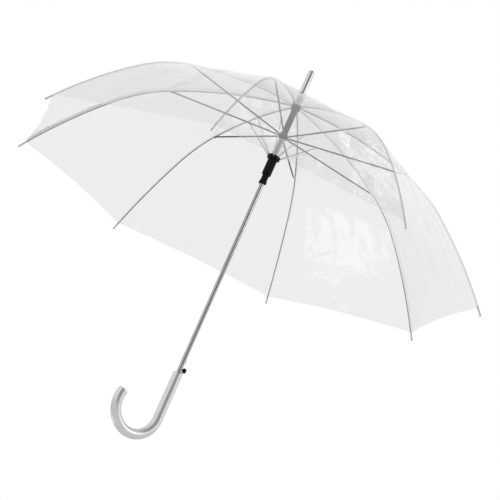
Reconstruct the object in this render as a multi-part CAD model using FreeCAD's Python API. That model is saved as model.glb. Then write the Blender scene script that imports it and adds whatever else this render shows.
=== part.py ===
import FreeCAD, Part
import math
import os

V = FreeCAD.Vector

# Clear dome umbrella with an automatic stick frame, open.
# Origin: on the shaft's axis, about half way down the straight grip. +Z runs up the shaft to the ferrule.
# The hook curls towards +X, the push button looks towards -X, and rib 1 points along +X.
# Every rib and its stretcher and stay are drawn in the XZ plane, then turned about Z.

# ---- Driving dimensions, mm ----
RIBS = 8
STEP_DEG = 360.0 / RIBS

CROWN_Z = 636.5          # underside reference of the crown, above the origin

SHAFT_R = 4.5            # steel tube, 9 mm
SHAFT_WALL = 0.6
SHAFT_TOP = CROWN_Z + 45.0
SHAFT_BOTTOM = -8.0

# Rib centre line: the pivot at the crown, the first slope, then (arc length, slope at its end)
RIB_PIVOT = (7.2, CROWN_Z - 3.0)
RIB_SLOPE = 4.0
INNER_ARCS = [(101.3, 11.5), (147.0, 21.0)]
OUTER_ARCS = [(120.0, 42.0), (209.0, 54.0)]
RIB_W = 2.4
RIB_H = 2.0
RIB_T = 0.35
EYE_R = 1.3
EYE_HALF = 0.6           # half the thickness of a rib's inner eye
JOINT_DROP = 3.0         # stretcher joint below the rib's centre line
INNER_START = 7.5        # where the channel section starts, along the rib
INNER_END_GAP = 1.5      # channel end before the joint
OUTER_START_GAP = 3.0    # channel start after the joint
JOINT_R = 1.7
JOINT_PIN_R = 0.75
RUN_CLEAR = 0.05         # radial running clearance of pins

TIP_LENGTH = 15.0
TIP_OVER = 8.0           # how far a tip cap reaches back over its rib
TIP_R = 1.9
TIP_BALL_R = 2.2

# Film canopy
FILM_OFFSET = 2.0        # film underside above the rib's centre line
FILM_T = 0.2
FILM_HEM = 564.3         # hem, measured along the rib
FILM_HOLE_R = 5.5

# Crown, where the ribs are threaded on a wire ring
WIRE_R = 0.5
CROWN_R = 9.1
CROWN_CORE_R = 5.7
CROWN_TOP = CROWN_Z - 1.5
CROWN_BOTTOM = CROWN_Z - 10.0
CROWN_SLOT = 1.6

# Dark sleeve that holds the hub down from the crown
SLEEVE_R = 6.2
SLEEVE_GAP = 0.3

CAP_R = 11.0
CAP_BOTTOM = CROWN_Z - 0.3
CAP_TOP = CROWN_Z + 3.4
FERRULE_R = 6.8
FERRULE_TOP = CROWN_Z + 80.0

# Hub of the stretchers
HUB_R = 7.8
HUB_CORE_R = 5.3
HUB_BOTTOM = CROWN_Z - 75.0
HUB_TOP = CROWN_Z - 64.0
HUB_PIVOT = (6.3, CROWN_Z - 70.7)
STRETCHER_Y = 3.1        # the stretchers lie beside the ribs' planes
STRETCHER_W = 2.0
STRETCHER_H = 2.4
STRETCHER_EYE_R = 1.5
STRETCHER_EYE_HALF = 0.5
STRETCHER_EYE_HOLE = 0.9 # the hub's wire runs through it at a slant
STRETCHER_NECK = 8.5     # flat eye before the channel section starts
SLIDE_CLEAR = 0.08

# Runner with its stays
STAY_AT = 66.7           # stay joint along the stretcher, from the hub
RUNNER_PIVOT = (11.4, CROWN_Z - 118.6)
STAY_Y = 0.95
STAY_T = 1.0
STAY_R = 0.8             # half the height of the bar
STAY_EYE_R = 1.3
STAY_HOLE = 0.65
RUNNER_TOP = CROWN_Z - 115.6
COLLAR_R = 13.2
COLLAR_H = 6.6
RUNNER_BODY_R = 9.3
RUNNER_BODY_H = 35.0
RUNNER_NECK_R = 6.6
RUNNER_NECK_H = 14.7
RUNNER_FOOT_R = 7.6
RUNNER_BOTTOM = CROWN_Z - 177.9
RUNNER_CORE_R = 7.6      # inside the collar's slots
FOOT_SLOT_H = 18.0       # slot that lets the catch's nose in

SPRING_R = 6.9           # mean radius
SPRING_WIRE_R = 0.75
SPRING_TURNS = 7.0

# Handle
GRIP_TOP = 46.7
GRIP_BOTTOM = -49.8
GRIP_TOP_R = 9.2
HOOK_TUBE_R = 9.9
HOOK_R = 48.7            # centre line of the hook
HOOK_SWEEP = 195.0
HOOK_END_ROUND = 4.0
PLUG_R = 7.0
PLUG_DEPTH = 6.0
PLUG_LIP_R = 8.8         # lip over the rim, on the button's side only
PLUG_LIP_H = 1.6

# Release: catch leaf inside the shaft, and the button that presses it
CATCH_PIVOT_Z = 4.0
CATCH_TOP_Z = GRIP_TOP + 39.0
CATCH_TAIL = 2.0
CATCH_EYE_R = 0.55
CATCH_NOSE_Z = GRIP_TOP + 29.3
CATCH_NOSE_H = 12.0
CATCH_NOSE_R = 7.3
LEAF_X = -3.2
LEAF_T = 0.6
LEAF_W = 3.0
BUTTON_Z = GRIP_TOP + 9.2
BUTTON_R = 4.9
BUTTON_FACE = 13.0       # button face from the shaft's axis
BUTTON_T = 4.2
BUTTON_STEM_R = 1.5


# ---- Small helpers ----
def p3(point, y=0.0):
    return V(point[0], y, point[1])


def save(name, shape):
    shape.exportStep(os.path.join("parts", name + ".step"))


def turned(shape, index):
    out = shape.copy()
    out.rotate(V(0, 0, 0), V(0, 0, 1), STEP_DEG * index)
    return out


def tube(radius, bore, bottom, top):
    outer = Part.makeCylinder(radius, top - bottom, V(0, 0, bottom))
    return outer.cut(Part.makeCylinder(bore, top - bottom + 2, V(0, 0, bottom - 1)))


def bar(p, q, radius, y0, y1):
    """Flat bar with round ends between two points of the XZ plane."""
    dx = q[0] - p[0]
    dz = q[1] - p[1]
    length = math.hypot(dx, dz)
    nx = -dz / length * radius
    nz = dx / length * radius
    corners = [(p[0] + nx, p[1] + nz), (q[0] + nx, q[1] + nz), (q[0] - nx, q[1] - nz), (p[0] - nx, p[1] - nz)]
    far = (q[0] + dx / length * radius, q[1] + dz / length * radius)
    near = (p[0] - dx / length * radius, p[1] - dz / length * radius)
    edges = [
        Part.makeLine(p3(corners[0], y0), p3(corners[1], y0)),
        Part.Arc(p3(corners[1], y0), p3(far, y0), p3(corners[2], y0)).toShape(),
        Part.makeLine(p3(corners[2], y0), p3(corners[3], y0)),
        Part.Arc(p3(corners[3], y0), p3(near, y0), p3(corners[0], y0)).toShape(),
    ]
    return Part.Face(Part.Wire(edges)).extrude(V(0, y1 - y0, 0))


def disc(point, radius, y0, y1):
    return Part.makeCylinder(radius, y1 - y0, p3(point, y0), V(0, 1, 0))


def channel_face(point, slope, width, height, wall, y_mid=0.0):
    """U section, open below, square to a centre line that drops at slope degrees."""
    up = V(math.sin(math.radians(slope)), 0, math.cos(math.radians(slope)))
    w = width / 2
    h = height / 2
    outline = [(-w, h), (w, h), (w, -h), (w - wall, -h), (w - wall, h - wall)]
    outline += [(-w + wall, h - wall), (-w + wall, -h), (-w, -h)]
    points = [p3(point, y_mid + y) + up * v for y, v in outline]
    return Part.Face(Part.makePolygon(points + [points[0]]))


# ---- Rib centre line ----
def walk(start, slope, arcs):
    """Follows the arcs and returns one (start, slope, end slope, radius, centre, length) for each."""
    out = []
    here = start
    for length, end in arcs:
        turn = math.radians(end - slope)
        radius = length / turn
        a = math.radians(slope)
        b = math.radians(end)
        centre = (here[0] - radius * math.sin(a), here[1] - radius * math.cos(a))
        out.append((here, slope, end, radius, centre, length))
        here = (centre[0] + radius * math.sin(b), centre[1] + radius * math.cos(b))
        slope = end
    return out


RIB = walk(RIB_PIVOT, RIB_SLOPE, INNER_ARCS + OUTER_ARCS)
INNER_LENGTH = sum(length for length, end in INNER_ARCS)
RIB_LENGTH = INNER_LENGTH + sum(length for length, end in OUTER_ARCS)


def rib_at(s, lift=0.0):
    """Point and slope at arc length s along the rib, lift mm above its centre line."""
    gone = 0.0
    for start, slope, end, radius, centre, length in RIB:
        if s <= gone + length or gone + length >= RIB_LENGTH - 1e-6:
            here = slope + (end - slope) * (s - gone) / length
            a = math.radians(here)
            return (centre[0] + (radius + lift) * math.sin(a), centre[1] + (radius + lift) * math.cos(a)), here
        gone += length


def rib_channel(s0, s1):
    """Channel section swept along the rib from s0 to s1."""
    pieces = []
    gone = 0.0
    for start, slope, end, radius, centre, length in RIB:
        a = max(s0, gone)
        b = min(s1, gone + length)
        if b - a > 1e-6:
            rate = (end - slope) / length
            here = slope + rate * (a - gone)
            at = math.radians(here)
            point = (centre[0] + radius * math.sin(at), centre[1] + radius * math.cos(at))
            face = channel_face(point, here, RIB_W, RIB_H, RIB_T)
            pieces.append(face.revolve(p3(centre), V(0, 1, 0), rate * (b - a)))
        gone += length
    out = pieces[0]
    for piece in pieces[1:]:
        out = out.fuse(piece)
    return out.removeSplitter()


JOINT = rib_at(INNER_LENGTH, -JOINT_DROP)[0]
STRETCHER_LENGTH = math.hypot(JOINT[0] - HUB_PIVOT[0], JOINT[1] - HUB_PIVOT[1])


def along(p, q, distance):
    length = math.hypot(q[0] - p[0], q[1] - p[1])
    return (p[0] + (q[0] - p[0]) * distance / length, p[1] + (q[1] - p[1]) * distance / length)


STAY_JOINT = along(HUB_PIVOT, JOINT, STAY_AT)


# ---- Ribs ----
def rib_inner():
    shape = rib_channel(INNER_START, INNER_LENGTH - INNER_END_GAP)
    eye = disc(RIB_PIVOT, EYE_R, -EYE_HALF, EYE_HALF)
    neck = bar(RIB_PIVOT, rib_at(INNER_START + 3)[0], RIB_H / 2, -EYE_HALF, EYE_HALF)
    root = rib_at(INNER_LENGTH - 5.0)[0]
    tongue = bar(root, JOINT, RIB_H / 2, -0.6, 0.6).fuse(disc(JOINT, JOINT_R, -0.6, 0.6))
    shape = shape.fuse([eye, neck, tongue])
    shape = shape.cut(disc(RIB_PIVOT, WIRE_R + 0.12, -2, 2))
    shape = shape.cut(disc(JOINT, JOINT_PIN_R + RUN_CLEAR, -2, 2))
    return shape.removeSplitter()


def rib_outer():
    shape = rib_channel(INNER_LENGTH + OUTER_START_GAP, RIB_LENGTH - 4.0)
    root = rib_at(INNER_LENGTH + 5.0)[0]
    for y0 in (-RIB_W / 2, RIB_W / 2 - RIB_T):
        cheek = bar(JOINT, root, RIB_H / 2, y0, y0 + RIB_T).fuse(disc(JOINT, JOINT_R, y0, y0 + RIB_T))
        shape = shape.fuse(cheek)
    shape = shape.fuse(disc(JOINT, JOINT_PIN_R, -RIB_W / 2, RIB_W / 2))
    return shape.removeSplitter()


def rib_tip():
    back, slope = rib_at(RIB_LENGTH - 4.0 - TIP_OVER)
    a = math.radians(rib_at(RIB_LENGTH - 6.0)[1])
    way = V(math.cos(a), 0, -math.sin(a))
    sleeve = Part.makeCylinder(TIP_R, TIP_LENGTH, p3(back), way)
    ball = Part.makeSphere(TIP_BALL_R, p3(back) + way * (TIP_LENGTH - 1.0))
    pocket = rib_solid_envelope(RIB_LENGTH - 14.0, RIB_LENGTH - 4.0)
    return sleeve.fuse(ball).cut(pocket).removeSplitter()


def rib_solid_envelope(s0, s1):
    """The rib's outside without its hollow, for the pocket in a tip cap."""
    gone = RIB_LENGTH - OUTER_ARCS[-1][0]
    start, slope, end, radius, centre, length = RIB[-1]
    rate = (end - slope) / length
    here = slope + rate * (s0 - gone)
    at = math.radians(here)
    point = (centre[0] + radius * math.sin(at), centre[1] + radius * math.cos(at))
    face = channel_face(point, here, RIB_W, RIB_H, RIB_W / 2 - 1e-3)
    up = V(math.sin(at), 0, math.cos(at))
    corners = [(-RIB_W / 2, RIB_H / 2), (RIB_W / 2, RIB_H / 2), (RIB_W / 2, -RIB_H / 2), (-RIB_W / 2, -RIB_H / 2)]
    points = [p3(point, y) + up * v for y, v in corners]
    face = Part.Face(Part.makePolygon(points + [points[0]]))
    return face.revolve(p3(centre), V(0, 1, 0), rate * (s1 - s0))


# ---- Stretchers and stays ----
def link(p, q, y_mid, width, height, eye_half, eye_r, hole_p, hole_q, neck):
    """Channel between two pivots with a flat eye at each end."""
    slope = -math.degrees(math.atan2(q[1] - p[1], q[0] - p[0]))
    a = along(p, q, neck)
    b = along(q, p, neck)
    run = V(b[0] - a[0], 0, b[1] - a[1])
    shape = channel_face(a, slope, width, height, 0.5, y_mid).extrude(run)
    y0 = y_mid - eye_half
    y1 = y_mid + eye_half
    for end, mate in ((p, q), (q, p)):
        flat = bar(end, along(end, mate, neck + 3.0), height / 2, y0, y1)
        shape = shape.fuse([flat, disc(end, eye_r, y0, y1)])
    shape = shape.cut(disc(p, hole_p, y0 - 1, y1 + 1))
    shape = shape.cut(disc(q, hole_q, y0 - 1, y1 + 1))
    return shape.removeSplitter()


def stretcher():
    return link(HUB_PIVOT, JOINT, STRETCHER_Y, STRETCHER_W, STRETCHER_H, STRETCHER_EYE_HALF,
                STRETCHER_EYE_R, STRETCHER_EYE_HOLE, JOINT_PIN_R + RUN_CLEAR, STRETCHER_NECK)


def stay():
    y0 = STAY_Y - STAY_T / 2
    y1 = STAY_Y + STAY_T / 2
    shape = bar(RUNNER_PIVOT, STAY_JOINT, STAY_R, y0, y1)
    shape = shape.fuse([disc(end, STAY_EYE_R, y0, y1) for end in (RUNNER_PIVOT, STAY_JOINT)])
    shape = shape.cut(disc(RUNNER_PIVOT, STAY_HOLE, y0 - 1, y1 + 1))
    return shape.cut(disc(STAY_JOINT, STAY_HOLE, y0 - 1, y1 + 1))


# ---- Parts round the shaft ----
def wire_ring(pivot, y):
    return Part.makeTorus(math.hypot(pivot[0], y), WIRE_R, V(0, 0, pivot[1]))


def slotted(body, core_r, y_mid, width, bottom, top, reach):
    """Cuts one slot for each rib from the outside to the core."""
    cutter = Part.makeBox(reach, width, top - bottom, V(0, y_mid - width / 2, bottom))
    cutter = cutter.cut(Part.makeCylinder(core_r, top - bottom + 2, V(0, 0, bottom - 1)))
    for index in range(RIBS):
        body = body.cut(turned(cutter, index))
    return body


def crown():
    body = tube(CROWN_R, SHAFT_R, CROWN_BOTTOM, CROWN_TOP)
    body = slotted(body, CROWN_CORE_R, 0.0, CROWN_SLOT, CROWN_BOTTOM - 1, CROWN_TOP + 1, CROWN_R + 2)
    return body.cut(Part.makeTorus(RIB_PIVOT[0], WIRE_R + 0.02, V(0, 0, RIB_PIVOT[1])))


def stop_sleeve():
    return tube(SLEEVE_R, SHAFT_R, HUB_TOP + SLEEVE_GAP, CROWN_BOTTOM)


def canopy_cap():
    body = tube(CAP_R, SHAFT_R, CAP_BOTTOM, CAP_TOP)
    rim = [e for e in body.Edges if abs(e.BoundBox.ZMin - CAP_TOP) < 1e-6 and e.BoundBox.XMax > CAP_R - 1e-6]
    return body.makeFillet(1.8, rim)


def ferrule():
    body = Part.makeCylinder(FERRULE_R, FERRULE_TOP - CAP_TOP, V(0, 0, CAP_TOP))
    rim = [e for e in body.Edges if abs(e.BoundBox.ZMin - FERRULE_TOP) < 1e-6]
    body = body.makeFillet(1.2, rim)
    return body.cut(Part.makeCylinder(SHAFT_R, SHAFT_TOP - CAP_TOP, V(0, 0, CAP_TOP)))


def shaft():
    body = tube(SHAFT_R, SHAFT_R - SHAFT_WALL, SHAFT_BOTTOM, SHAFT_TOP)
    slot_h = CATCH_NOSE_H + 2.5
    slot = Part.makeBox(3, LEAF_W + 0.8, slot_h, V(-SHAFT_R - 1, -LEAF_W / 2 - 0.4, CATCH_NOSE_Z - slot_h / 2))
    hole = Part.makeCylinder(BUTTON_STEM_R + 0.1, 4, V(-SHAFT_R - 2, 0, BUTTON_Z), V(1, 0, 0))
    return body.cut([slot, hole])


def hub():
    body = tube(HUB_R, SHAFT_R + SLIDE_CLEAR, HUB_BOTTOM, HUB_TOP)
    slot_bottom = HUB_PIVOT[1] - 2.0
    slot = 2 * STRETCHER_EYE_HALF + 0.5
    body = slotted(body, HUB_CORE_R, STRETCHER_Y, slot, slot_bottom, HUB_TOP + 1, HUB_R + 2)
    ring = Part.makeTorus(math.hypot(HUB_PIVOT[0], STRETCHER_Y), WIRE_R + 0.02, V(0, 0, HUB_PIVOT[1]))
    return body.cut(ring)


def runner():
    parts = [Part.makeCylinder(COLLAR_R, COLLAR_H, V(0, 0, RUNNER_TOP - COLLAR_H))]
    z = RUNNER_TOP - COLLAR_H - RUNNER_BODY_H
    parts.append(Part.makeCylinder(RUNNER_BODY_R, RUNNER_BODY_H, V(0, 0, z)))
    z -= RUNNER_NECK_H
    parts.append(Part.makeCylinder(RUNNER_NECK_R, RUNNER_NECK_H, V(0, 0, z)))
    parts.append(Part.makeCylinder(RUNNER_FOOT_R, z - RUNNER_BOTTOM, V(0, 0, RUNNER_BOTTOM)))
    body = parts[0].fuse(parts[1:])
    bore_h = RUNNER_TOP - RUNNER_BOTTOM + 2
    body = body.cut(Part.makeCylinder(SHAFT_R + SLIDE_CLEAR, bore_h, V(0, 0, RUNNER_BOTTOM - 1)))
    slot_bottom = RUNNER_PIVOT[1] - 2.0
    body = slotted(body, RUNNER_CORE_R, STAY_Y, STAY_T + 0.5, slot_bottom, RUNNER_TOP + 1, COLLAR_R + 2)
    ring = Part.makeTorus(math.hypot(RUNNER_PIVOT[0], STAY_Y), WIRE_R + 0.02, V(0, 0, RUNNER_PIVOT[1]))
    nose = Part.makeBox(8, LEAF_W + 1.4, FOOT_SLOT_H + 1, V(-12, -LEAF_W / 2 - 0.7, RUNNER_BOTTOM - 1))
    return body.cut([ring, nose]).removeSplitter()


def main_spring():
    bottom = RUNNER_TOP + SPRING_WIRE_R + 0.15
    top = HUB_BOTTOM - SPRING_WIRE_R - 0.15
    steps = int(SPRING_TURNS * 12)
    points = []
    for step in range(steps + 1):
        a = 2 * math.pi * SPRING_TURNS * step / steps
        z = bottom + (top - bottom) * step / steps
        points.append(V(SPRING_R * math.cos(a), SPRING_R * math.sin(a), z))
    line = Part.BSplineCurve()
    line.interpolate(points)
    rise = (top - bottom) / SPRING_TURNS
    section = Part.Wire(Part.makeCircle(SPRING_WIRE_R, points[0], V(0, 2 * math.pi * SPRING_R, rise)))
    return Part.Wire(line.toShape()).makePipeShell([section], True, True)


# ---- Handle and release ----
def handle():
    straight = Part.makeCone(HOOK_TUBE_R, GRIP_TOP_R, GRIP_TOP - GRIP_BOTTOM, V(0, 0, GRIP_BOTTOM))
    ring = Part.Face(Part.Wire(Part.makeCircle(HOOK_TUBE_R, V(0, 0, GRIP_BOTTOM), V(0, 0, 1))))
    centre = V(HOOK_R, 0, GRIP_BOTTOM)
    bend = ring.revolve(centre, V(0, -1, 0), HOOK_SWEEP)
    a = math.radians(HOOK_SWEEP)
    end = V(HOOK_R - HOOK_R * math.cos(a), 0, GRIP_BOTTOM - HOOK_R * math.sin(a))
    way = V(math.sin(a), 0, -math.cos(a))
    cap = Part.makeCylinder(HOOK_TUBE_R, 6.0, end, way)
    rims = [e for e in cap.Edges if e.Closed and abs((e.CenterOfMass - end).dot(way) - 6.0) < 1e-3]
    cap = cap.makeFillet(HOOK_END_ROUND, rims)
    body = straight.fuse([bend, cap]).removeSplitter()
    bore = Part.makeCylinder(SHAFT_R, GRIP_TOP - SHAFT_BOTTOM + 5, V(0, 0, SHAFT_BOTTOM))
    mouth = Part.makeCylinder(PLUG_R, PLUG_DEPTH + 1.0, V(0, 0, GRIP_TOP - PLUG_DEPTH))
    return body.cut([bore, mouth])


def handle_plug():
    plug = tube(PLUG_R, SHAFT_R, GRIP_TOP - PLUG_DEPTH, GRIP_TOP)
    lip = tube(PLUG_LIP_R, SHAFT_R, GRIP_TOP, GRIP_TOP + PLUG_LIP_H)
    away = Part.makeBox(20, 40, 10, V(2.0, -20, GRIP_TOP - 1))
    return plug.fuse(lip.cut(away)).removeSplitter()


def catch_leaf():
    x0 = LEAF_X - LEAF_T / 2
    foot = CATCH_PIVOT_Z - CATCH_TAIL
    leaf = Part.makeBox(LEAF_T, LEAF_W, CATCH_TOP_Z - foot, V(x0, -LEAF_W / 2, foot))
    eye = disc((LEAF_X, CATCH_PIVOT_Z), CATCH_EYE_R, -0.8, 0.8)
    low = CATCH_NOSE_Z - CATCH_NOSE_H / 2
    high = CATCH_NOSE_Z + CATCH_NOSE_H / 2
    outline = [V(x0 + 0.2, 0, low), V(-CATCH_NOSE_R, 0, low), V(-CATCH_NOSE_R, 0, low + 2.0), V(x0 + 0.2, 0, high)]
    nose = Part.Face(Part.makePolygon(outline + [outline[0]])).extrude(V(0, LEAF_W - 0.4, 0))
    nose.translate(V(0, -(LEAF_W - 0.4) / 2, 0))
    return leaf.fuse([nose, eye]).removeSplitter()


def push_button():
    cap = Part.makeCylinder(BUTTON_R, BUTTON_T, V(-BUTTON_FACE, 0, BUTTON_Z), V(1, 0, 0))
    face = [e for e in cap.Edges if abs(e.BoundBox.XMax + BUTTON_FACE) < 1e-6]
    cap = cap.makeFillet(1.4, face)
    reach = -LEAF_X + LEAF_T / 2 + 0.15
    stem = Part.makeCylinder(BUTTON_STEM_R, BUTTON_FACE - reach - 1, V(-BUTTON_FACE + 1, 0, BUTTON_Z), V(1, 0, 0))
    return cap.fuse(stem).removeSplitter()


# ---- Canopy ----
def panel():
    """One film panel: straight from rib to rib, curved along them, between two radial planes."""
    half = math.radians(STEP_DEG / 2)
    squeeze = math.cos(half)
    bend = INNER_LENGTH + OUTER_ARCS[0][0]
    stations = [0.0, 50.0, 100.0, 150.0, 200.0, INNER_LENGTH, 280.0, 310.0, 340.0, bend, 420.0, 490.0, FILM_HEM]

    def line(lift):
        points = [rib_at(s, lift)[0] for s in stations]
        points[0] = (FILM_HOLE_R, points[0][1] + 0.2)
        return [V(x * squeeze, 0, z) for x, z in points]

    lower = line(FILM_OFFSET)
    upper = line(FILM_OFFSET + FILM_T)
    edges = []
    for points in (lower, upper):
        curve = Part.BSplineCurve()
        curve.interpolate(points)
        edges.append(curve.toShape())
    edges.insert(1, Part.makeLine(lower[-1], upper[-1]))
    edges.append(Part.makeLine(upper[0], lower[0]))
    profile = Part.Face(Part.Wire(Part.sortEdges(edges)[0]))
    wide = profile.extrude(V(0, 500, 0))
    wide.translate(V(0, -250, 0))
    reach = 600.0
    wedge = Part.makePolygon([V(0, 0, 0), V(reach, -reach * math.tan(half), 0), V(reach, reach * math.tan(half), 0),
                              V(0, 0, 0)])
    wedge = Part.Face(wedge).extrude(V(0, 0, 900))
    out = wide.common(wedge)
    out.rotate(V(0, 0, 0), V(0, 0, 1), STEP_DEG / 2)
    return out


# ---- Write every piece ----
save("shaft", shaft())
save("ferrule", ferrule())
save("canopy_cap", canopy_cap())
save("crown", crown())
save("crown_wire", wire_ring(RIB_PIVOT, 0.0))
save("stop_sleeve", stop_sleeve())
save("hub", hub())
save("hub_wire", wire_ring(HUB_PIVOT, STRETCHER_Y))
save("main_spring", main_spring())
save("runner", runner())
save("runner_wire", wire_ring(RUNNER_PIVOT, STAY_Y))
save("handle", handle())
save("handle_plug", handle_plug())
save("catch_leaf", catch_leaf())
save("push_button", push_button())

film = panel()
save("canopy", Part.makeCompound([turned(film, index) for index in range(RIBS)]))

repeated = {
    "rib_inner": rib_inner(),
    "rib_outer": rib_outer(),
    "rib_tip": rib_tip(),
    "stretcher": stretcher(),
    "stay": stay(),
}
for name, shape in repeated.items():
    for index in range(RIBS):
        save(name + "_" + str(index + 1), turned(shape, index))
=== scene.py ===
import math

import bpy
from mathutils import Matrix, Vector, noise


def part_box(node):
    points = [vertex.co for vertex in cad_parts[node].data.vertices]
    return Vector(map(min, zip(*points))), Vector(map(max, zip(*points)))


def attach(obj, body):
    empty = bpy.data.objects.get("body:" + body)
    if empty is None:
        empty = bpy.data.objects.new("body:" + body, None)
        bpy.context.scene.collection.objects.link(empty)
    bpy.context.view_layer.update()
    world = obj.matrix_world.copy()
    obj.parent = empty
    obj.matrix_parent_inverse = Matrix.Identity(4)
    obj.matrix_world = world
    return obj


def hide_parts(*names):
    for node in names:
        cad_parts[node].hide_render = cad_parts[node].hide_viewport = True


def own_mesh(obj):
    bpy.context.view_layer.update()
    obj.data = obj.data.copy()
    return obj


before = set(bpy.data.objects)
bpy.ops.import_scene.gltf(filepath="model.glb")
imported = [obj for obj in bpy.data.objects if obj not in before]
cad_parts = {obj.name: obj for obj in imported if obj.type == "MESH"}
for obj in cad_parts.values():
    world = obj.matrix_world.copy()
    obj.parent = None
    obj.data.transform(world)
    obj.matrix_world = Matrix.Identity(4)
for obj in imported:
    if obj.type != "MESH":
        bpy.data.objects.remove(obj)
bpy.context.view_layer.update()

# ---- Driving dimensions, in metres. The frame's own come from the CAD nodes ----
RIBS = 8
STEP = 2 * math.pi / RIBS
RIB_PIVOT = (0.0072, 0.6335)     # radius and height of a rib's hinge at the crown
RIB_SLOPE = 4.0                  # degrees below level at the crown
RIB_ARCS = [(0.1013, 11.5), (0.147, 21.0), (0.120, 42.0), (0.209, 54.0)]   # arc length, slope at its end
JOINT_S = 0.2483                 # stretcher joint, along the rib
FILM_LIFT = 0.0021               # film above a rib's centre line
HEM_S = 0.5643                   # hem, along the rib
FILM_START = 0.0055              # radius of the hole at the crown
CAP_S = 0.03                     # along the rib, how far the film slopes up to the hole
CAP_RISE = 0.0028

# The film's shape between two ribs
SAG = 0.0035                     # how far it pulls in
HEM_CURVE = 0.007                # how far the hem curves up
MIDDLE_FOLD = 0.0011             # height of the pressed fold down the middle of a panel
CRUMPLE = 0.0016
STREAK = 0.0014

# Its welds and hem, and how it shines
WELD_OFFSET = 0.0045             # from the rib's middle
WELD_HALF_WIDTH = 0.0006
HEM_WIDTH = 0.004
HAZE = 0.12                      # share of light scattered by one layer
DOUBLE_HAZE = 0.06               # more where film is doubled
FOLD_HAZE = 0.04                 # more where it is creased
FACE_SHINE = 0.075               # mirror share seen face on
EDGE_SHINE = 0.88                # what is added at a grazing angle
EDGE_POWER = 3.7


# ---- Materials ----
def new_material(name):
    mat = bpy.data.materials.new(name)
    mat.use_nodes = True
    nt = mat.node_tree
    nt.nodes.clear()
    return mat, nt


def node(nt, kind, inputs=None, **settings):
    n = nt.nodes.new(kind)
    for key, value in settings.items():
        setattr(n, key, value)
    for key, value in (inputs or {}).items():
        n.inputs[key].default_value = value
    return n


def new_object(name, data):
    obj = bpy.data.objects.new(name, data)
    bpy.context.collection.objects.link(obj)
    return obj


def surface(name, colour, metallic, roughness, stretch=(1, 1, 1), scale=400.0, spread=0.06, tone=0.12,
            bump=0.15, coat=0.0, edge=0.0, shine=0.5):
    """A Principled material whose colour, roughness and relief vary with fine noise, drawn out by stretch.
    edge is how much painted shade darkens its colour where the surface turns away from the view, standing in
    for dark reflections at the rims."""
    mat, nt = new_material(name)
    out = node(nt, "ShaderNodeOutputMaterial")
    shader = node(nt, "ShaderNodeBsdfPrincipled", {
        "Metallic": metallic, "Specular IOR Level": shine, "Coat Weight": coat, "Coat Roughness": 0.12})
    place = node(nt, "ShaderNodeTexCoord")
    warp = node(nt, "ShaderNodeMapping", {"Scale": stretch})
    fine = node(nt, "ShaderNodeTexNoise", {"Scale": scale, "Detail": 5.0})
    broad = node(nt, "ShaderNodeTexNoise", {"Scale": scale * 0.07, "Detail": 3.0})
    nt.links.new(place.outputs["Object"], warp.inputs["Vector"])
    nt.links.new(warp.outputs["Vector"], fine.inputs["Vector"])
    nt.links.new(place.outputs["Object"], broad.inputs["Vector"])
    ramp = node(nt, "ShaderNodeMapRange", {
        "To Min": max(0.02, roughness - spread), "To Max": roughness + spread})
    nt.links.new(fine.outputs["Fac"], ramp.inputs["Value"])
    nt.links.new(ramp.outputs["Result"], shader.inputs["Roughness"])
    mix = node(nt, "ShaderNodeMix", data_type="RGBA")
    mix.inputs["A"].default_value = (*[c * (1 - tone) for c in colour], 1)
    mix.inputs["B"].default_value = (*[min(1, c * (1 + tone)) for c in colour], 1)
    nt.links.new(broad.outputs["Fac"], mix.inputs["Factor"])
    colour_out = mix.outputs["Result"]
    # Painted shade: the base colour is darkened toward the silhouette, where the surface turns away from the
    # view
    if edge:
        rim = node(nt, "ShaderNodeLayerWeight", {"Blend": 0.5})
        fall = node(nt, "ShaderNodeMath", {1: 3.0}, operation="POWER")
        shade = node(nt, "ShaderNodeMix", data_type="RGBA")
        shade.inputs["B"].default_value = (*[c * (1 - edge) for c in colour], 1)
        nt.links.new(rim.outputs["Facing"], fall.inputs[0])
        nt.links.new(fall.outputs["Value"], shade.inputs["Factor"])
        nt.links.new(colour_out, shade.inputs["A"])
        colour_out = shade.outputs["Result"]
    nt.links.new(colour_out, shader.inputs["Base Color"])
    relief = node(nt, "ShaderNodeBump", {"Strength": bump, "Distance": 0.0001})
    nt.links.new(fine.outputs["Fac"], relief.inputs["Height"])
    nt.links.new(relief.outputs["Normal"], shader.inputs["Normal"])
    nt.links.new(shader.outputs["BSDF"], out.inputs["Surface"])
    return mat


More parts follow.
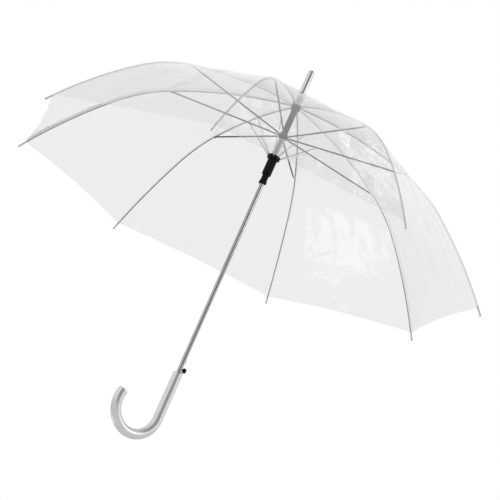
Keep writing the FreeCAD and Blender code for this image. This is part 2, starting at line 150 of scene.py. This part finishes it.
def film_material():
    """Clear vinyl: most light passes, a little is scattered milky, and it shines at grazing angles.
    UV is (distance from the rib, distance along the rib) in metres, for the welds and the hem."""
    mat, nt = new_material("clear_film")

    def math_node(operation, a, b):
        n = node(nt, "ShaderNodeMath", operation=operation)
        for socket, value in zip(n.inputs, (a, b)):
            if isinstance(value, (int, float)):
                socket.default_value = value
            else:
                nt.links.new(value, socket)
        return n.outputs["Value"]

    white = (0.93, 0.935, 0.935, 1)
    out = node(nt, "ShaderNodeOutputMaterial")
    clear = node(nt, "ShaderNodeBsdfTransparent", {"Color": (0.868, 0.871, 0.871, 1)})
    milk = node(nt, "ShaderNodeBsdfTranslucent", {"Color": white})
    veil = node(nt, "ShaderNodeBsdfDiffuse", {"Color": white})
    shine = node(nt, "ShaderNodeBsdfGlossy", {"Color": (1, 1, 1, 1), "Roughness": 0.12})

    # Crumples: sharp creases in patches, over a soft buckle
    place = node(nt, "ShaderNodeTexCoord")
    crease = node(nt, "ShaderNodeTexNoise", noise_type="RIDGED_MULTIFRACTAL", normalize=True)
    crease.inputs["Scale"].default_value = 24.0
    crease.inputs["Detail"].default_value = 4.0
    crease.inputs["Distortion"].default_value = 0.8
    patch = node(nt, "ShaderNodeTexNoise", {"Scale": 4.0, "Detail": 1.0})
    soft = node(nt, "ShaderNodeTexNoise", {"Scale": 30.0, "Detail": 3.0})
    for texture in (crease, patch, soft):
        nt.links.new(place.outputs["Object"], texture.inputs["Vector"])
    where = node(nt, "ShaderNodeMapRange", {"From Min": 0.42, "From Max": 0.62, "To Min": 0.35})
    nt.links.new(patch.outputs["Fac"], where.inputs["Value"])
    folds = math_node("MULTIPLY", crease.outputs["Fac"], where.outputs["Result"])
    height = math_node("ADD", math_node("MULTIPLY", folds, 0.8), soft.outputs["Fac"])
    relief = node(nt, "ShaderNodeBump", {"Strength": 0.5, "Distance": 0.0036})
    nt.links.new(height, relief.inputs["Height"])
    nt.links.new(relief.outputs["Normal"], shine.inputs["Normal"])

    # Welds beside each rib and the folded hem are doubled film
    uv = node(nt, "ShaderNodeUVMap", uv_map="film")
    split = node(nt, "ShaderNodeSeparateXYZ")
    nt.links.new(uv.outputs["UV"], split.inputs["Vector"])
    from_weld = math_node("ABSOLUTE", math_node("SUBTRACT", split.outputs["X"], WELD_OFFSET), 0.0)
    weld = math_node("LESS_THAN", from_weld, WELD_HALF_WIDTH)
    hem = math_node("GREATER_THAN", split.outputs["Y"], HEM_S - HEM_WIDTH)
    double = math_node("MAXIMUM", weld, hem)
    haze = math_node("ADD", math_node("MULTIPLY", double, DOUBLE_HAZE), HAZE)
    haze = math_node("ADD", haze, math_node("MULTIPLY", folds, FOLD_HAZE))

    scatter = node(nt, "ShaderNodeMixShader", {"Fac": 0.5})
    nt.links.new(milk.outputs["BSDF"], scatter.inputs[1])
    nt.links.new(veil.outputs["BSDF"], scatter.inputs[2])
    body = node(nt, "ShaderNodeMixShader")
    nt.links.new(haze, body.inputs["Fac"])
    nt.links.new(clear.outputs["BSDF"], body.inputs[1])
    nt.links.new(scatter.outputs["Shader"], body.inputs[2])
    # Reflection from the film's two faces, alike from outside and inside
    edge = node(nt, "ShaderNodeLayerWeight", {"Blend": 0.5})
    grazing = math_node("POWER", edge.outputs["Facing"], EDGE_POWER)
    mirror = math_node("ADD", math_node("MULTIPLY", grazing, EDGE_SHINE), FACE_SHINE)
    gloss = node(nt, "ShaderNodeMixShader")
    nt.links.new(mirror, gloss.inputs["Fac"])
    nt.links.new(body.outputs["Shader"], gloss.inputs[1])
    nt.links.new(shine.outputs["BSDF"], gloss.inputs[2])
    nt.links.new(gloss.outputs["Shader"], out.inputs["Surface"])
    return mat


FILM = film_material()
ALONG = (1, 1, 0.02)      # noise drawn out along the shaft
# Painted shade: edge darkens the shaft's colour at its rims, for the dark lines its reflections show
SHAFT_STEEL = surface("shaft_steel", (0.44, 0.44, 0.445), 1.0, 0.13, stretch=ALONG, scale=900, spread=0.03,
                      bump=0.0, edge=0.85)
RIB_STEEL = surface("rib_steel", (0.50, 0.50, 0.505), 0.9, 0.3, scale=700, tone=0.2, bump=0.05)
FRAME_STEEL = surface("frame_steel", (0.045, 0.045, 0.048), 0.25, 0.36, scale=700, tone=0.3, bump=0.05)
STAY_STEEL = surface("stay_steel", (0.42, 0.42, 0.425), 0.9, 0.3, scale=700, tone=0.2, bump=0.05)
WIRE = surface("wire_steel", (0.42, 0.42, 0.43), 1.0, 0.3)
SPRING = surface("spring_steel", (0.66, 0.66, 0.67), 1.0, 0.22, scale=600)
# Painted shade: edge darkens this metal's colour at its rims
BRIGHT = surface("bright_metal", (0.66, 0.665, 0.67), 1.0, 0.22, stretch=ALONG, scale=900, spread=0.04,
                 bump=0.0, edge=0.4)
# Painted shade: edge darkens the handle's colour at its rims, for its dark reflected edges
SILVER = surface("silver_lacquer", (0.69, 0.695, 0.70), 0.85, 0.25, scale=300, spread=0.02, tone=0.02,
                 bump=0.0, edge=0.7, coat=0.15)
BLACK = surface("black_plastic", (0.010, 0.010, 0.011), 0.0, 0.45, scale=900, tone=0.3, bump=0.1, shine=0.08)
TIP = surface("tip_plastic", (0.62, 0.63, 0.63), 0.0, 0.35, scale=900, tone=0.08, bump=0.05)
WHITE = surface("cap_plastic", (0.70, 0.71, 0.71), 0.0, 0.35, scale=900, tone=0.04)


def paint(node_name, mat):
    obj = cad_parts[node_name]
    obj.data.materials.clear()
    obj.data.materials.append(mat)


# The stop sleeve's black is painted shade: a dark sleeve over the shaft between hub and crown, where the shaft
# itself looks dark from its reflections
for name, mat in {
    "shaft": SHAFT_STEEL, "ferrule": BRIGHT, "canopy_cap": WHITE, "crown": BLACK, "crown_wire": WIRE,
    "stop_sleeve": BLACK, "hub": BLACK, "hub_wire": WIRE, "main_spring": SPRING, "runner": BLACK,
    "runner_wire": WIRE, "handle": SILVER, "handle_plug": BLACK, "catch_leaf": BRIGHT, "push_button": BLACK,
}.items():
    paint(name, mat)
for index in range(1, RIBS + 1):
    for name in ("rib_inner_", "rib_outer_"):
        paint(name + str(index), RIB_STEEL)
    paint("stretcher_" + str(index), FRAME_STEEL)
    paint("stay_" + str(index), STAY_STEEL)
    paint("rib_tip_" + str(index), TIP)


# ---- The film ----
def rib_point(s, lift):
    """Radius and height at arc length s along a rib, lift above its centre line."""
    r, z = RIB_PIVOT
    slope = math.radians(RIB_SLOPE)
    left = s
    for index, (length, end) in enumerate(RIB_ARCS):
        end = math.radians(end)
        radius = length / (end - slope)
        last = index == len(RIB_ARCS) - 1
        here = slope + (end - slope) * (left / length if left < length or last else 1.0)
        r += radius * (math.sin(here) - math.sin(slope))
        z -= radius * (math.cos(slope) - math.cos(here))
        if left <= length or last:
            return r + lift * math.sin(here), z + lift * math.cos(here)
        left -= length
        slope = end


def film_point(s, panel, t):
    """A point of the stretched film: s along the ribs, t from rib to rib across a panel (0 to 1)."""
    r, z = rib_point(s, FILM_LIFT)
    if s < CAP_S:
        r = FILM_START + (r - FILM_START) * s / CAP_S
        z = rib_point(CAP_S, FILM_LIFT)[1] + CAP_RISE * (1 - s / CAP_S)
    a = STEP * panel
    b = a + STEP
    left = Vector((r * math.cos(a), r * math.sin(a), z))
    right = Vector((r * math.cos(b), r * math.sin(b), z))
    point = left.lerp(right, t)
    mid = a + STEP / 2
    across = 4 * t * (1 - t)
    share = s / HEM_S
    slope = math.radians(RIB_SLOPE + 46 * share)
    out = Vector((math.cos(mid) * math.sin(slope), math.sin(mid) * math.sin(slope), math.cos(slope)))
    down = Vector((math.cos(mid) * math.cos(slope), math.sin(mid) * math.cos(slope), -math.sin(slope)))
    # The film pulls in a little between its ribs, and its hem curves up
    sag = -SAG * across * min(1.0, share * 1.6)
    hem = -HEM_CURVE * across * max(0.0, share - 0.75) / 0.25
    # Pressed fold down the middle of the panel
    fold = MIDDLE_FOLD * math.exp(-abs(t - 0.5) * r * 60) * min(1.0, share * 2)
    # Slack folds that run in from the ribs, and a soft crumple
    swirl = noise.noise(Vector((point.x * 9, point.y * 9, point.z * 9 + panel)))
    streak = noise.noise(Vector((t * 9 + panel * 7, s * 5, swirl)))
    wrinkle = across * min(1.0, share * 3) * (CRUMPLE * swirl + STREAK * streak)
    return point + out * (sag + fold + wrinkle) + down * hem


def film_normal(s, panel, t):
    """The whole film's normal, so that two half panels shade alike where they meet."""
    e = 0.0008
    t0 = min(max(t, 0.0), 1.0)
    a = film_point(s + e, panel, t0) - film_point(max(0.0, s - e), panel, t0)
    step = e / max(0.004, rib_point(s, 0)[0] * STEP)
    b = film_point(s, panel, min(1.0, t0 + step)) - film_point(s, panel, max(0.0, t0 - step))
    n = b.cross(a).normalized()
    return n if n.z > 0 else -n


def film_section(index, name, s0, s1, rows, columns, body, side):
    """Half a panel of film, from a rib to the fold on one side of it, between two stations along the rib."""
    verts, uvs, faces, normals = [], [], [], []
    lines = []
    for column in range(0, columns + 1) if side > 0 else range(-columns, 1):
        share = 0.5 * (abs(column) / columns) ** 1.25      # columns lie closer together near the rib
        lines.append((index, share) if column >= 0 else ((index - 1) % RIBS, 1.0 - share))
    for row in range(rows + 1):
        s = s0 + (s1 - s0) * row / rows
        for column, (panel, t) in enumerate(lines):
            verts.append(film_point(s, panel, t))
            aside = min(t, 1 - t) * rib_point(s, 0)[0] * 2 * math.sin(STEP / 2)
            uvs.append((aside, s))
            normals.append(film_normal(s, panel, t))
    width = len(lines)
    for row in range(rows):
        for column in range(width - 1):
            i = row * width + column
            faces.append((i, i + width, i + width + 1, i + 1))
    mesh = bpy.data.meshes.new(name)
    mesh.from_pydata(verts, [], faces)
    layer = mesh.uv_layers.new(name="film")
    for loop in mesh.loops:
        layer.data[loop.index].uv = uvs[loop.vertex_index]
    mesh.materials.append(FILM)
    for face in mesh.polygons:
        face.use_smooth = True
    mesh.update()
    mesh.normals_split_custom_set_from_vertices(normals)
    obj = new_object(name, mesh)
    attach(obj, body)
    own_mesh(obj)
    broad = math.sin(STEP / 2) * rib_point(s1, 0)[0]
    return obj


first = None
for index in range(RIBS):
    number = str(index + 1)
    for side, letter in ((1, "a"), (-1, "b")):
        inner = film_section(index, "film_inner_" + number + letter, 0.0, JOINT_S, 60, 20,
                             "rib_inner_body_" + number, side)
        film_section(index, "film_outer_" + number + letter, JOINT_S, HEM_S, 80, 20,
                     "rib_outer_body_" + number, side)
        first = first or inner
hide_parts("canopy")


# ---- The main spring ----
def coil(name, radius, wire, bottom, top, turns, rings=30, sides=10):
    """A closed tube along a helix about the shaft."""
    verts, faces = [], []
    steps = int(turns * rings)
    rise = math.atan2(top - bottom, 2 * math.pi * radius * turns)
    for step in range(steps + 1):
        a = 2 * math.pi * turns * step / steps
        out = Vector((math.cos(a), math.sin(a), 0))
        side = Vector((math.sin(a) * math.sin(rise), -math.cos(a) * math.sin(rise), math.cos(rise)))
        centre = out * radius + Vector((0, 0, bottom + (top - bottom) * step / steps))
        for k in range(sides):
            b = 2 * math.pi * k / sides
            verts.append(centre + (out * math.cos(b) + side * math.sin(b)) * wire)
    for step in range(steps):
        for k in range(sides):
            i, j = step * sides + k, step * sides + (k + 1) % sides
            faces.append((i, j, j + sides, i + sides))
    faces.append(tuple(range(sides))[::-1])
    faces.append(tuple(steps * sides + k for k in range(sides)))
    mesh = bpy.data.meshes.new(name)
    mesh.from_pydata(verts, [], faces)
    mesh.materials.append(SPRING)
    for face in mesh.polygons:
        face.use_smooth = len(face.vertices) == 4
    return new_object(name, mesh)


low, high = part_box("main_spring")
SPRING_END = 0.0009              # from an end of the spring's box to the wire's centre line
spring = coil("opening_spring", 0.0069, 0.00085, low[2] + SPRING_END, high[2] - SPRING_END, 7.0)
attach(spring, "hub_assembly")
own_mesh(spring)
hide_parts("main_spring")


# ---- Camera, light and floor ----
scene = bpy.context.scene
scene.view_settings.view_transform = "Standard"
camera_data = bpy.data.cameras.new("camera")
camera_data.sensor_width = 36.0
camera_data.lens = 124.851
camera = new_object("camera", camera_data)
camera.location = (1.69755, 2.77384, -0.56156)
camera.rotation_euler = [math.radians(a) for a in (106.6034, -22.9122, 141.3713)]
scene.camera = camera


def studio_world():
    """White to the camera. It lights the object with pale grey, and with a darker zone on one side."""
    world = bpy.data.worlds.new("studio")
    world.use_nodes = True
    nt = world.node_tree
    nt.nodes.clear()
    out = node(nt, "ShaderNodeOutputWorld")
    seen = node(nt, "ShaderNodeBackground", {"Color": (1, 1, 1, 1)})
    light = node(nt, "ShaderNodeBackground")
    path = node(nt, "ShaderNodeLightPath")
    pick = node(nt, "ShaderNodeMixShader")
    place = node(nt, "ShaderNodeTexCoord")
    level = node(nt, "ShaderNodeVectorMath", {1: (1, 1, 0)}, operation="MULTIPLY")
    unit = node(nt, "ShaderNodeVectorMath", operation="NORMALIZE")
    dark_way = math.radians(70)
    toward = node(nt, "ShaderNodeVectorMath", {1: (math.cos(dark_way), math.sin(dark_way), 0)},
                  operation="DOT_PRODUCT")
    dark = node(nt, "ShaderNodeMapRange", {"From Min": 0.62, "From Max": 0.99},
                interpolation_type="SMOOTHSTEP")
    tone = node(nt, "ShaderNodeMix", data_type="RGBA")
    tone.inputs["A"].default_value = (0.97, 0.97, 0.97, 1)
    tone.inputs["B"].default_value = (0.27, 0.27, 0.275, 1)
    strength = node(nt, "ShaderNodeMapRange", {
        "From Min": -0.98, "From Max": -0.35, "To Min": 1.0, "To Max": 1.04}, interpolation_type="SMOOTHSTEP")
    nt.links.new(place.outputs["Generated"], level.inputs[0])
    nt.links.new(level.outputs["Vector"], unit.inputs[0])
    nt.links.new(unit.outputs["Vector"], toward.inputs[0])
    nt.links.new(toward.outputs["Value"], dark.inputs["Value"])
    nt.links.new(dark.outputs["Result"], tone.inputs["Factor"])
    nt.links.new(tone.outputs["Result"], light.inputs["Color"])
    nt.links.new(toward.outputs["Value"], strength.inputs["Value"])
    nt.links.new(strength.outputs["Result"], light.inputs["Strength"])
    nt.links.new(path.outputs["Is Camera Ray"], pick.inputs["Fac"])
    nt.links.new(light.outputs["Background"], pick.inputs[1])
    nt.links.new(seen.outputs["Background"], pick.inputs[2])
    nt.links.new(pick.outputs["Shader"], out.inputs["Surface"])
    return world


scene.world = studio_world()


def softbox(name, place, target, size, power):
    data = bpy.data.lights.new(name, "AREA")
    data.shape = "RECTANGLE"
    data.size, data.size_y = size
    data.energy = power
    lamp = new_object(name, data)
    lamp.location = place
    lamp.rotation_euler = (Vector(target) - Vector(place)).to_track_quat("-Z", "Y").to_euler()
    lamp.visible_camera = False
    return lamp


softbox("key", (-1.6, 2.4, 1.4), (0, 0, 0.45), (1.0, 0.6), 7)
low_lamp = softbox("low", (0.30, -0.62, -0.8), (-0.35, -0.1, 0.5), (0.36, 0.5), 0.5)
low_lamp.data.shape = "ELLIPSE"
# Narrow tubes overhead, facing down, that draw bright lines on the film beside ribs 2 and 3
TUBES = (("tube_3", (-0.34, 0.22, 2.0), -19, (0.02, 0.75), 0.14),
         ("tube_2", (-0.03, 0.22, 2.0), -21, (0.02, 0.45), 0.08))
for name, place, yaw, size, power in TUBES:
    tube = softbox(name, place, (place[0], place[1], 0), size, power)
    tube.rotation_euler = (0, 0, math.radians(yaw))

FLOOR_REACH = 40
FLOOR_Z = -0.85
floor_mesh = bpy.data.meshes.new("floor")
floor_mesh.from_pydata([(x * FLOOR_REACH, y * FLOOR_REACH, FLOOR_Z)
                        for x, y in ((-1, -1), (1, -1), (1, 1), (-1, 1))], [], [(0, 1, 2, 3)])
floor_mesh.materials.append(surface("floor_paint", (0.86, 0.86, 0.86), 0.0, 0.8, scale=20, tone=0.01, bump=0.0))
new_object("floor", floor_mesh)
